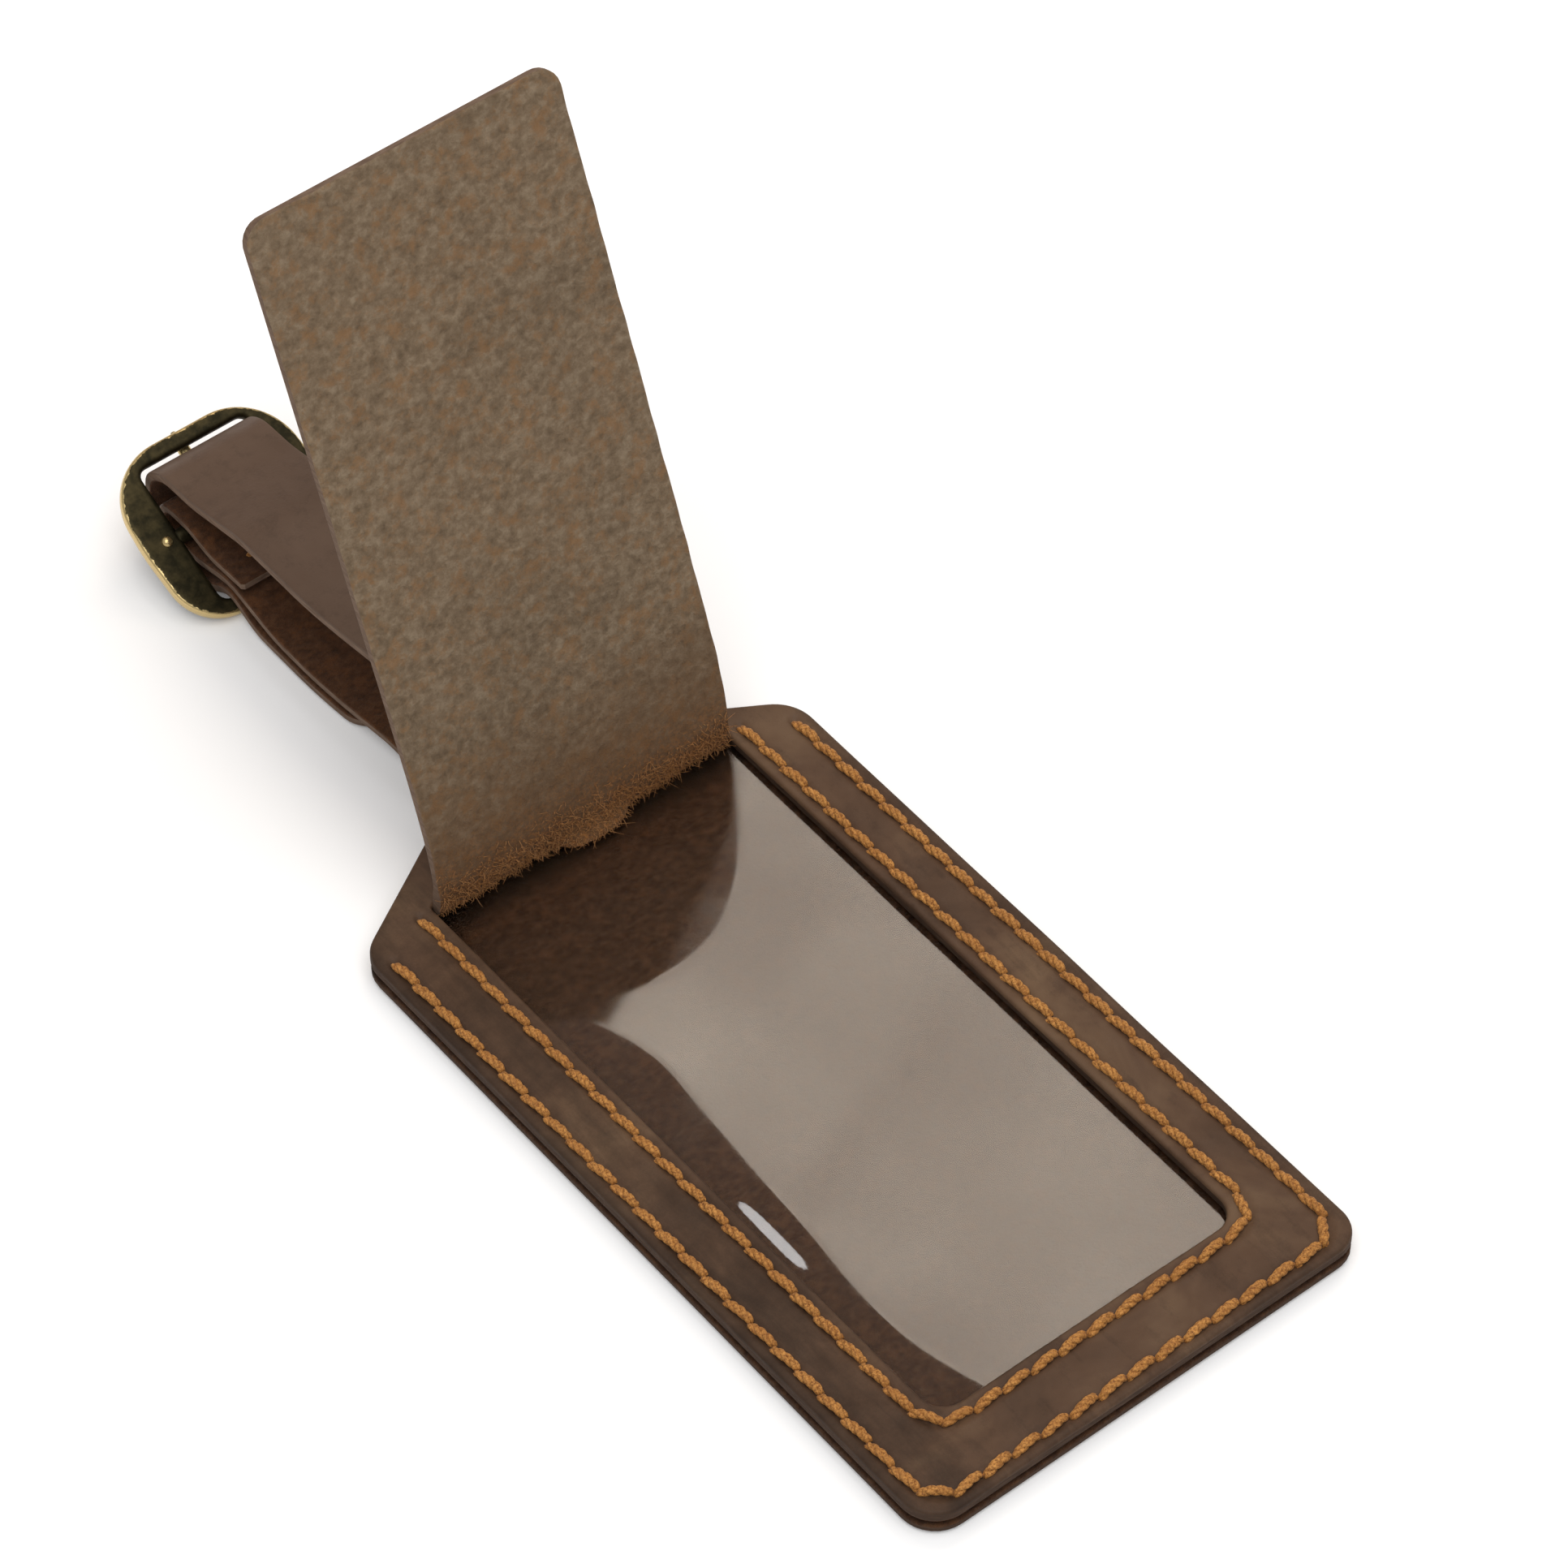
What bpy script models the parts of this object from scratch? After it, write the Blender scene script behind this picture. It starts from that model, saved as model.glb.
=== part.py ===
"""Leather luggage tag with a privacy flap, clear window and buckled strap loop.

Units are metres, Z is up.  X runs across the tag, Y from its stitched end to the strap.
The origin is the middle of the underside of the tag body.
"""
import math

import bmesh
import bpy
from mathutils import Vector

MM = 0.001

# ---- driving dimensions (mm) -------------------------------------------------------
HALF_W = 33.4           # half width of the tag body
Y_END = -53.9           # stitched end of the body
Y_SIDE = 53.0           # where a straight side would meet the shoulder
NECK_HALF = 15.2        # half width of the tongue that carries the strap slot
Y_NECK = 68.0           # end of the tongue
Y_BACK = 59.8           # end of the back panel, open for the card
PANEL_T = 1.7           # leather thickness of the front panel and the flap
BACK_T = 1.3            # the lining panel behind is thinner
VINYL_T = 0.2           # clear sheet
GAP = 0.3               # clearance between separate parts

VINYL_Z = BACK_T + GAP
FRONT_Z = VINYL_Z + VINYL_T + GAP
TOP_Z = FRONT_Z + PANEL_T

WIN_X = 0.4             # the window, its stitch row and the flap sit off centre
WIN_HALF = 22.9         # half width of the window
WIN_Y0 = -42.4          # window edge nearest the stitched end
HINGE_Y = 55.0          # window edge that the flap folds on
WIN_R = 3.2             # corner radius of the window and of the flap
FLAP_ANGLE = 108.0      # how far the flap stands open from lying in the window
FLAP_CLEAR = 0.4

OUTER_X, OUTER_Y0, OUTER_Y1 = 31.2, -51.9, 50.6     # outer stitch row
INNER_X, INNER_Y0, INNER_Y1 = 25.0, -44.3, 54.2     # inner stitch row
OUTER_R, INNER_R = 4.0, 4.0
PITCH = 4.3             # stitch length
THREAD_R = 0.6
FLAT_FRONT, FLAT_OUTER_BACK, FLAT_INNER_BACK = 0.75, 0.52, 0.42
GROOVE_W, GROOVE_D, GROOVE_BACK = 1.9, 0.8, 0.95

SLOT_HALF = 12.2        # strap slot in the tongue
SLOT_Y0, SLOT_Y1 = 61.4, 65.3

STRAP_W = 16.0
STRAP_T = 1.4
STRAP_X = -3.3          # the strap hangs off centre in its wide slot

BUCKLE_W = 27.0
BUCKLE_H = 24.8
BUCKLE_R_FOOT, BUCKLE_R_TOP = 7.0, 9.0
OPENING_HALF, OPENING_R = 8.95, 1.4
RAIL_W, RAIL_T = 2.3, 1.8           # width of the foot and top rails, thickness of the frame
BUCKLE_X = -3.9
BUCKLE_FOOT = (111.3, 0.6)          # middle of the rail that rests on the table
BUCKLE_TILT = 26.8                  # degrees above the table
BAR_S = 12.6                        # distance of the centre bar from the foot
BAR_R = 1.1
PIN_R = 0.45
PRONG_W, PRONG_T = 1.8, 1.3
PRONG_EYE_W = 3.0
HOLE_R = 1.8
TACK_Y, TACK_Z, TACK_FOOT = 113.2, 7.25, 5.5        # thread tack through the fold
TACK_HALF, TACK_R = 4.6, 0.35

# Course of the strap: (y, z, fillet radius) of the middle of its thickness.
STRAP_COURSE = (
    (109.3, 7.45, 0), (116.5, 7.05, 9), (121.2, 8.5, 5), (127.4, 8.35, 2.05),
    (127.2, 4.15, 2.05), (120.0, 3.85, 12), (112.6, 5.75, 9), (103.0, 3.2, 14),
    (80.5, 2.75, 9), (73.5, 0.95, 6), (63.2, 0.95, 1.7), (63.4, 16.8, 9.5),
    (84.0, 16.3, 60), (109.0, 16.3, 14), (120.5, 13.3, 14), (125.6, 12.5, 6),
    (129.85, 10.1, 4.5), (130.5, 3.3, 2.6),
    (120.8, 0.95, 8), (117.2, 1.0, 4), (112.9, 4.05, 3.2), (107.0, 1.0, 8),
    (82.5, 0.8, 0),
)

MATERIALS = {
    "leather": ((0.075, 0.043, 0.026), 0.0, 0.55),
    "thread": ((0.55, 0.23, 0.04), 0.0, 0.6),
    "vinyl": ((0.75, 0.74, 0.76), 0.0, 0.12),
    "brass": ((0.33, 0.23, 0.08), 1.0, 0.35),
}


# ---- helpers ------------------------------------------------------------------------
def clear_scene():
    for obj in list(bpy.data.objects):
        bpy.data.objects.remove(obj, do_unlink=True)


def material(name):
    mat = bpy.data.materials.get(name)
    if mat:
        return mat
    colour, metallic, rough = MATERIALS[name]
    mat = bpy.data.materials.new(name)
    mat.use_nodes = True
    bsdf = mat.node_tree.nodes["Principled BSDF"]
    bsdf.inputs["Base Color"].default_value = (*colour, 1.0)
    bsdf.inputs["Metallic"].default_value = metallic
    bsdf.inputs["Roughness"].default_value = rough
    return mat


def add_mesh(name, verts, faces, mat=None, cutter=False):
    mesh = bpy.data.meshes.new(name)
    mesh.from_pydata([Vector(v) * MM for v in verts], [], faces)
    bm = bmesh.new()
    bm.from_mesh(mesh)
    bmesh.ops.recalc_face_normals(bm, faces=bm.faces)
    bm.to_mesh(mesh)
    bm.free()
    obj = bpy.data.objects.new(name, mesh)
    if cutter:
        cutter_collection().objects.link(obj)
        obj.hide_render = True
        obj.display_type = "WIRE"
    else:
        bpy.context.scene.collection.objects.link(obj)
        mesh.materials.append(material(mat))
        mesh.shade_smooth()
        mesh.set_sharp_from_angle(angle=math.radians(35))
    return obj


def cutter_collection():
    col = bpy.data.collections.get("cutters")
    if not col:
        col = bpy.data.collections.new("cutters")
        bpy.context.scene.collection.children.link(col)
    return col


def cut(obj, cutter):
    mod = obj.modifiers.new("cut_" + cutter.name, "BOOLEAN")
    mod.operation = "DIFFERENCE"
    mod.solver = "EXACT"
    mod.object = cutter


def soften(obj, width=0.35, segments=2, angle=50):
    mod = obj.modifiers.new("soft_edge", "BEVEL")
    mod.width = width * MM
    mod.segments = segments
    mod.limit_method = "ANGLE"
    mod.angle_limit = math.radians(angle)
    mod.harden_normals = False


def fillet(points, closed=True, step=14.0):
    """Corner points (x, y, radius) -> points with each corner turned into an arc."""
    out = []
    count = len(points)
    for i, (px, py, radius) in enumerate(points):
        here = Vector((px, py))
        if not closed and i in (0, count - 1):
            out.append(here)
            continue
        before = Vector(points[i - 1][:2]) - here
        after = Vector(points[(i + 1) % count][:2]) - here
        before.normalize()
        after.normalize()
        inside = before.angle(after)
        if radius <= 0 or math.pi - inside < 0.01:
            out.append(here)
            continue
        back = radius / math.tan(inside / 2)
        middle = here + (before + after).normalized() * (radius / math.sin(inside / 2))
        start = here + before * back - middle
        turn = math.pi - inside
        if start.x * (here + after * back - middle).y < start.y * (here + after * back - middle).x:
            turn = -turn
        parts = max(2, math.ceil(abs(math.degrees(turn)) / step))
        for k in range(parts + 1):
            a = turn * k / parts
            c, s = math.cos(a), math.sin(a)
            out.append(middle + Vector((start.x * c - start.y * s, start.x * s + start.y * c)))
    return out


def plate(name, outline, z0, z1, mat=None, cutter=False):
    n = len(outline)
    verts = [(p.x, p.y, z0) for p in outline] + [(p.x, p.y, z1) for p in outline]
    faces = [tuple(range(n))[::-1], tuple(range(n, 2 * n))]
    faces += [(i, (i + 1) % n, n + (i + 1) % n, n + i) for i in range(n)]
    return add_mesh(name, verts, faces, mat, cutter)


def frames(path, closed):
    """Tangent of every point of a 3-D path."""
    out = []
    n = len(path)
    for i in range(n):
        a = path[i - 1] if (closed or i) else path[i]
        b = path[(i + 1) % n] if (closed or i < n - 1) else path[i]
        out.append((b - a).normalized())
    return out


def sweep(name, path, rings, side, mat=None, closed=False, cutter=False):
    """Sweep rings of (across, lift) offsets along a path that lies square to `side`."""
    tangents = frames(path, closed)
    m = len(rings[0])
    verts = []
    for point, tangent, ring in zip(path, tangents, rings):
        across = side.cross(tangent).normalized()
        verts += [tuple(point + across * u + side * v) for u, v in ring]
    n = len(path)
    faces = []
    for i in range(n if closed else n - 1):
        j = (i + 1) % n
        faces += [(i * m + k, i * m + (k + 1) % m, j * m + (k + 1) % m, j * m + k)
                  for k in range(m)]
    if not closed:
        faces += [tuple(range(m))[::-1], tuple(range((n - 1) * m, n * m))]
    return add_mesh(name, verts, faces, mat, cutter)


def ellipse(a, b, count, turn=0.0):
    return [(a * math.cos(2 * math.pi * k / count + turn),
             b * math.sin(2 * math.pi * k / count + turn)) for k in range(count)]


def resample(points, count):
    """Spread `count` + 1 points evenly along a 2-D polyline."""
    marks = [0.0]
    for a, b in zip(points, points[1:]):
        marks.append(marks[-1] + (b - a).length)
    out = []
    j = 0
    for i in range(count + 1):
        d = marks[-1] * i / count
        while j < len(points) - 2 and marks[j + 1] < d:
            j += 1
        span = marks[j + 1] - marks[j] or 1.0
        out.append(points[j].lerp(points[j + 1], (d - marks[j]) / span))
    return out, marks[-1]


# ---- outlines -----------------------------------------------------------------------
def body_outline(y_top, inset=0.0):
    """Body with chamfered shoulders, closed by a straight edge at y_top."""
    run = (Y_NECK - 3.4 - Y_SIDE) / (HALF_W - NECK_HALF)
    half_top = max(NECK_HALF, HALF_W - (y_top - Y_SIDE) / run)
    w = HALF_W - inset
    corners = [(-w, Y_END + inset, 5.0), (w, Y_END + inset, 4.2), (w, Y_SIDE, 6.0)]
    if half_top == NECK_HALF:
        knee = Y_NECK - 3.4
        corners += [(NECK_HALF, knee, 2.0), (NECK_HALF - 0.8, y_top, 2.2),
                    (-NECK_HALF + 0.8, y_top, 2.2), (-NECK_HALF, knee, 2.0)]
    else:
        corners += [(half_top - inset, y_top, 2.0), (-half_top + inset, y_top, 2.0)]
    corners.append((-w, Y_SIDE, 6.0))
    return fillet(corners)


def window_outline(half, y0, y1, radius):
    left, right = WIN_X - half, WIN_X + half
    return fillet([(left, y0, radius), (right, y0, radius), (right, y1, 0.6), (left, y1, 0.6)])


def row_path(x, half, y0, y1, radius):
    """Open U of a stitch row, from the strap end round the stitched end and back."""
    left, right = x - half, x + half
    return fillet([(left, y1, 0), (left, y0, radius), (right, y0, radius), (right, y1, 0)],
                  closed=False, step=10.0)


# ---- pieces -------------------------------------------------------------------------
def groove(name, row, z_from, z_to):
    points = row_path(*row)
    first, last = points[0].copy(), points[-1].copy()
    points[0] = first + (first - points[1]).normalized() * 0.8
    points[-1] = last + (last - points[-2]).normalized() * 0.8
    path = [Vector((p.x, p.y, 0)) for p in points]
    half = GROOVE_W / 2
    ring = [(-half, z_from), (half, z_from), (half, z_to), (-half, z_to)]
    return sweep(name, path, [ring] * len(path), Vector((0, 0, 1)), cutter=True)


def stitches(name, row, z_mid, flat):
    """One continuous thread: a plump lay for every stitch, pinched where it dives."""
    _, length = resample(row_path(*row), 2)
    count = round(length / PITCH)
    line, _ = resample(row_path(*row), count * 4)
    path = [Vector((p.x, p.y, z_mid)) for p in line]
    plump = (0.42, 0.86, 1.0, 0.86)
    rings = [ellipse(THREAD_R * plump[i % 4], THREAD_R * flat * plump[i % 4], 6)
             for i in range(len(path))]
    return sweep(name, path, rings, Vector((0, 0, 1)), "thread")


def build_panels():
    outer = (0, OUTER_X, OUTER_Y0, OUTER_Y1, OUTER_R)
    inner = (WIN_X, INNER_X, INNER_Y0, INNER_Y1, INNER_R)

    front = plate("front_panel", body_outline(Y_NECK), FRONT_Z, TOP_Z, "leather")
    window = plate("cut_window", window_outline(WIN_HALF, WIN_Y0, HINGE_Y, WIN_R),
                   FRONT_Z - 1, TOP_Z + 1, cutter=True)
    slot = plate("cut_slot", fillet([(-SLOT_HALF, SLOT_Y0, 1.6), (SLOT_HALF, SLOT_Y0, 1.6),
                                     (SLOT_HALF, SLOT_Y1, 1.6), (-SLOT_HALF, SLOT_Y1, 1.6)]),
                 FRONT_Z - 1, TOP_Z + 1, cutter=True)
    cut(front, window)
    cut(front, slot)
    cut(front, groove("cut_outer_front", outer, TOP_Z - GROOVE_D, TOP_Z + 1))
    cut(front, groove("cut_inner_front", inner, TOP_Z - GROOVE_D, TOP_Z + 1))
    soften(front)

    back = plate("back_panel", body_outline(Y_BACK), 0, BACK_T, "leather")
    cut(back, groove("cut_outer_back", outer, -1, GROOVE_BACK))
    cut(back, groove("cut_inner_back", inner, GROOVE_BACK - 0.5, BACK_T + 1))
    soften(back)

    stitches("outer_stitch_front", outer, TOP_Z, FLAT_FRONT)
    stitches("inner_stitch_front", inner, TOP_Z, FLAT_FRONT)
    stitches("outer_stitch_back", outer, 0.34, FLAT_OUTER_BACK)
    stitches("inner_stitch_back", inner, 1.02, FLAT_INNER_BACK)
    return front, back


def build_vinyl():
    half, y0, y1 = 28.4, -48.6, 58.2
    outline = fillet([(-half, y0, 3), (half, y0, 3), (half, 55.6, 2), (half - 4, y1, 2),
                      (-half + 4, y1, 2), (-half, 55.6, 2)])
    return plate("window_sheet", outline, VINYL_Z, VINYL_Z + VINYL_T, "vinyl")


def build_flap():
    """Flap cut out of the window, hinged on its strap-side edge and standing open."""
    half = WIN_HALF - FLAP_CLEAR
    flat = plate("privacy_flap", window_outline(half, WIN_Y0 + FLAP_CLEAR,
                                                HINGE_Y - FLAP_CLEAR, WIN_R - FLAP_CLEAR),
                 FRONT_Z + 0.05, TOP_Z, "leather")
    angle = -math.radians(FLAP_ANGLE)
    c, s = math.cos(angle), math.sin(angle)
    for v in flat.data.vertices:
        y, z = v.co.y - HINGE_Y * MM, v.co.z - TOP_Z * MM
        v.co.y = y * c - z * s + HINGE_Y * MM
        v.co.z = y * s + z * c + TOP_Z * MM
    soften(flat)
    return flat


def build_strap():
    """One leather strip from the stitched fold on the centre bar to its free tip."""
    centre = fillet(STRAP_COURSE, closed=False, step=18.0)
    path = [Vector((STRAP_X, p.x, p.y)) for p in centre]
    t, w = STRAP_T / 2, STRAP_W / 2
    ring = [(-t, -w), (t, -w), (t, w), (-t, w)]
    strap = sweep("strap", path, [ring] * len(path), Vector((1, 0, 0)), "leather")
    cut(strap, prong_slot())
    for hole in tack_holes():
        cut(strap, hole)
    for i, place in enumerate(hole_places()):
        cut(strap, rod_cutter("cut_hole_%d" % i, *place))
    soften(strap, 0.25, 1)
    return strap


def tack_sides():
    return (STRAP_X - TACK_HALF, STRAP_X + TACK_HALF)


def build_tack():
    """Thread that holds the cut end of the fold down on the run below it."""
    top = TACK_Z + STRAP_T / 2 + GAP + TACK_R
    left, right = tack_sides()
    line = fillet([(left, TACK_FOOT, 0), (left, top, 0.8), (right, top, 0.8),
                   (right, TACK_FOOT, 0)], closed=False, step=30.0)
    path = [Vector((p.x, TACK_Y, p.y)) for p in line]
    ring = ellipse(TACK_R, TACK_R, 8)
    return sweep("fold_stitch", path, [ring] * len(path), Vector((0, 1, 0)), "thread")


def tack_holes():
    half = TACK_R + GAP
    for i, x in enumerate(tack_sides()):
        outline = [Vector((x - half, TACK_Y - half)), Vector((x + half, TACK_Y - half)),
                   Vector((x + half, TACK_Y + half)), Vector((x - half, TACK_Y + half))]
        yield plate("cut_tack_%d" % i, outline, TACK_FOOT - GAP, TACK_Z + 2, cutter=True)


def prong_slot():
    """Slot in the fold round the centre bar, so that the prong can stand through it."""
    outline = fillet([(BUCKLE_X - 2.1, 118.9, 1.5), (BUCKLE_X + 2.1, 118.9, 1.5),
                      (BUCKLE_X + 2.1, 129.0, 0), (BUCKLE_X - 2.1, 129.0, 0)])
    return plate("cut_prong_slot", outline, 3.15, 9.6, cutter=True)


def hole_places():
    """Middle and direction of the adjusting holes, in the plane of the strap's course."""
    _, along, _ = prong_line()
    return (((130.0, prong_height(130.0)), along), ((102.0, 0.95), Vector((0, 1))),
            ((93.0, 0.9), Vector((0, 1))))


def rod(name, centre, reach, radius, up, mat=None, cutter=False, count=20):
    """Cylinder along X."""
    ends = [centre - Vector((reach, 0, 0)), centre + Vector((reach, 0, 0))]
    ring = ellipse(radius, radius, count)
    return sweep(name, ends, [ring, ring], up, mat, cutter=cutter)


def rod_cutter(name, place, direction):
    mid = Vector((BUCKLE_X, place[0], place[1]))
    axis = Vector((0, direction.x, direction.y)).normalized()
    path = [mid - axis * 1.7, mid + axis * 1.7]
    ring = ellipse(HOLE_R, HOLE_R, 20)
    side = Vector((1, 0, 0))
    return sweep(name, path, [ring, ring], side, cutter=True)


# ---- buckle -------------------------------------------------------------------------
def buckle_axes():
    a = math.radians(BUCKLE_TILT)
    up = Vector((0, math.cos(a), math.sin(a)))
    front = Vector((0, math.sin(a), -math.cos(a)))
    foot = Vector((BUCKLE_X, *BUCKLE_FOOT))
    return foot, up, front


def bar_centre():
    foot, up, _ = buckle_axes()
    return foot + up * BAR_S


def prong_line():
    """Start, direction and length of the prong's shank in the (y, z) plane."""
    foot, up, front = buckle_axes()
    start = bar_centre() + front * (BAR_R + 0.45)
    end = foot + up * (BUCKLE_H + 0.3) + front * (RAIL_T / 2 + GAP + PRONG_T / 2)
    run = Vector((end.y - start.y, end.z - start.z))
    return Vector((start.y, start.z)), run.normalized(), run.length


def prong_height(y):
    start, along, _ = prong_line()
    return start.y + (y - start.x) * along.y / along.x


def tilted_plate(name, outline, thickness, cutter=False):
    """Plate in the plane of the buckle; outline points are (across, distance from the foot)."""
    foot, up, front = buckle_axes()
    n = len(outline)
    verts = [tuple(foot + Vector((p.x, 0, 0)) + up * p.y + front * v)
             for v in (thickness / 2, -thickness / 2) for p in outline]
    faces = [tuple(range(n)), tuple(range(n, 2 * n))[::-1]]
    faces += [(i, n + i, n + (i + 1) % n, (i + 1) % n) for i in range(n)]
    return add_mesh(name, verts, faces, "brass", cutter)


def build_buckle():
    """Flat frame with broad sides, an opening for the strap and a hole for each bar pin."""
    w, low, high = BUCKLE_W / 2, BUCKLE_R_FOOT, BUCKLE_R_TOP
    outline = fillet([(-w + 0.7, 0, low), (w - 0.7, 0, low), (w, BAR_S, 30), (w - 0.9, BUCKLE_H, high),
                      (-w + 0.9, BUCKLE_H, high), (-w, BAR_S, 30)], step=9.0)
    frame = tilted_plate("buckle_frame", outline, RAIL_T)
    o, top = OPENING_HALF, BUCKLE_H - RAIL_W
    cut(frame, tilted_plate("cut_opening", fillet([(-o, RAIL_W, OPENING_R), (o, RAIL_W, OPENING_R),
                                                   (o, top, OPENING_R), (-o, top, OPENING_R)]),
                            RAIL_T * 3, cutter=True))
    soften(frame, 0.5, 2)
    for side in (-1, 1):
        mid = bar_centre() + Vector((side * (o + 0.3), 0, 0))
        cut(frame, rod("cut_pin_%d" % (side + 1), mid, 1.3, PIN_R + GAP, buckle_axes()[1],
                       cutter=True, count=12))
    return frame


def build_bar():
    """Centre bar with a pin on each end that is held in the side rails."""
    centre = bar_centre()
    _, up, _ = buckle_axes()
    body = OPENING_HALF - 0.4
    tip = body + 0.4 + 1.2
    stations = ((-tip, PIN_R), (-body, PIN_R), (-body, BAR_R), (body, BAR_R), (body, PIN_R),
                (tip, PIN_R))
    path = [centre + Vector((x, 0, 0)) for x, _ in stations]
    verts, faces, m = [], [], 16
    side = Vector((1, 0, 0)).cross(up)
    for point, (_, radius) in zip(path, stations):
        verts += [tuple(point + up * u + side * v) for u, v in ellipse(radius, radius, m)]
    for i in range(len(path) - 1):
        faces += [(i * m + k, i * m + (k + 1) % m, (i + 1) * m + (k + 1) % m, (i + 1) * m + k)
                  for k in range(m)]
    faces += [tuple(range(m))[::-1], tuple(range(len(verts) - m, len(verts)))]
    return add_mesh("buckle_bar", verts, faces, "brass")


def build_prong():
    """Prong: an eye round the centre bar and a shank that lies on the far rail."""
    centre = bar_centre()
    _, up, _ = buckle_axes()
    inner, outer = BAR_R + GAP, BAR_R + GAP + 0.85
    prong = rod("buckle_prong", centre, PRONG_EYE_W / 2, outer, up, "brass")
    start, along, length = prong_line()
    stations = ((0.9, 1.0, 1.0), (length * 0.75, 1.0, 1.0), (length, 0.85, 0.8),
                (length + 0.6, 0.55, 0.5))
    path, rings = [], []
    for run, wide, thick in stations:
        p = start + along * run
        path.append(Vector((BUCKLE_X, p.x, p.y)))
        rings.append(ellipse(PRONG_T / 2 * thick * 1.15, PRONG_W / 2 * wide * 1.1, 10, math.pi / 10))
    shank = sweep("add_shank", path, rings, Vector((1, 0, 0)), cutter=True)
    join = prong.modifiers.new("shank", "BOOLEAN")
    join.operation, join.solver, join.object = "UNION", "EXACT", shank
    cut(prong, rod("cut_eye", centre, 4.0, inner, up, cutter=True))
    return prong


def main():
    clear_scene()
    build_panels()
    build_vinyl()
    build_flap()
    build_strap()
    build_tack()
    build_buckle()
    build_bar()
    build_prong()


main()
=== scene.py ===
"""Leather luggage tag: the looks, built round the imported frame.

Lengths in this file are millimetres until they reach a mesh.  X runs across the tag,
Y from the stitched end to the strap, Z up.
"""
import math

import bpy
import numpy as np
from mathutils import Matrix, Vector, geometry


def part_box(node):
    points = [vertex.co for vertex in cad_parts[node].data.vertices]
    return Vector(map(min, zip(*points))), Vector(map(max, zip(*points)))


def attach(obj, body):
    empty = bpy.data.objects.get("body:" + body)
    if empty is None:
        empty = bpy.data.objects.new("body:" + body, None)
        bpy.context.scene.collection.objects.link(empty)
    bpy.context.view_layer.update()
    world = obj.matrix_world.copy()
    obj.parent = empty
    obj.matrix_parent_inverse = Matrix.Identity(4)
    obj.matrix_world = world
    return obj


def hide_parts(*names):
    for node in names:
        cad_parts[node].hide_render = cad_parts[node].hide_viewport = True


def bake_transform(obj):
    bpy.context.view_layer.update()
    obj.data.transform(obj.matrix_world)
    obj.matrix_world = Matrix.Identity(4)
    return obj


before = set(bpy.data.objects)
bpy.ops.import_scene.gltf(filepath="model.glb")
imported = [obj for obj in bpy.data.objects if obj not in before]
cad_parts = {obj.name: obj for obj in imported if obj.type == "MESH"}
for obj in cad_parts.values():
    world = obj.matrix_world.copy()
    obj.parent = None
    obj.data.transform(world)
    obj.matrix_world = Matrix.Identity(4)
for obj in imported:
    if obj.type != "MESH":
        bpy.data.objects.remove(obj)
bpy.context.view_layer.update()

MM = 0.001
rng = np.random.default_rng(7)

# ---- sizes shared with the frame (mm) --------------------------------------------------
HALF_W, Y_END, Y_SIDE = 33.4, -53.9, 53.0
NECK_HALF, Y_NECK, Y_BACK = 15.2, 68.0, 59.8
TOP_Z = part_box("front_panel")[1].z / MM
FRONT_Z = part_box("front_panel")[0].z / MM
BACK_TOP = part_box("back_panel")[1].z / MM
LEATHER_T = TOP_Z - FRONT_Z
WIN_X, WIN_HALF, WIN_Y0, WIN_R, HINGE_Y = 0.4, 22.9, -42.4, 3.2, 55.0
FLAP_HALF, FLAP_LENGTH, FLAP_R = 22.5, 97.2, 3.0
OUTER_ROW = (0.0, 31.2, -51.9, 50.6, 4.0)
INNER_ROW = (WIN_X, 25.0, -44.3, 54.2, 4.0)
PITCH = 4.3
SLOT = (12.2, 61.4, 65.3)
STRAP_X, STRAP_W, STRAP_T = -3.3, 16.0, 1.4
STRAP_COURSE = (
    (109.3, 7.45, 0), (116.5, 7.05, 9), (121.2, 8.5, 5), (127.4, 8.35, 2.05),
    (127.2, 4.15, 2.05), (120.0, 3.85, 12), (112.6, 5.75, 9), (103.0, 3.2, 14),
    (80.5, 2.75, 9), (73.5, 0.95, 6), (63.2, 0.95, 1.7), (63.4, 16.8, 9.5),
    (84.0, 16.3, 60), (109.0, 16.3, 14), (120.0, 13.9, 14), (126.2, 13.7, 5),
    (129.85, 11.3, 4.0), (130.4, 3.3, 2.6),
    (120.8, 0.95, 8), (117.2, 1.0, 4), (112.9, 4.05, 3.2), (107.0, 1.0, 8),
    (82.5, 0.8, 0),
)
BUCKLE_X, BUCKLE_W, BUCKLE_H, BUCKLE_TILT = -3.9, 27.0, 24.8, 26.8
BUCKLE_FOOT = (111.3, 0.6)
FOOT_INSET, TOP_INSET, FOOT_R, TOP_R, BARREL_R = 0.7, 0.9, 7.0, 9.0, 30
OPENING_HALF, RAIL_W, RAIL_T, BAR_S, BAR_R = 8.95, 2.3, 1.8, 12.6, 1.1


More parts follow.
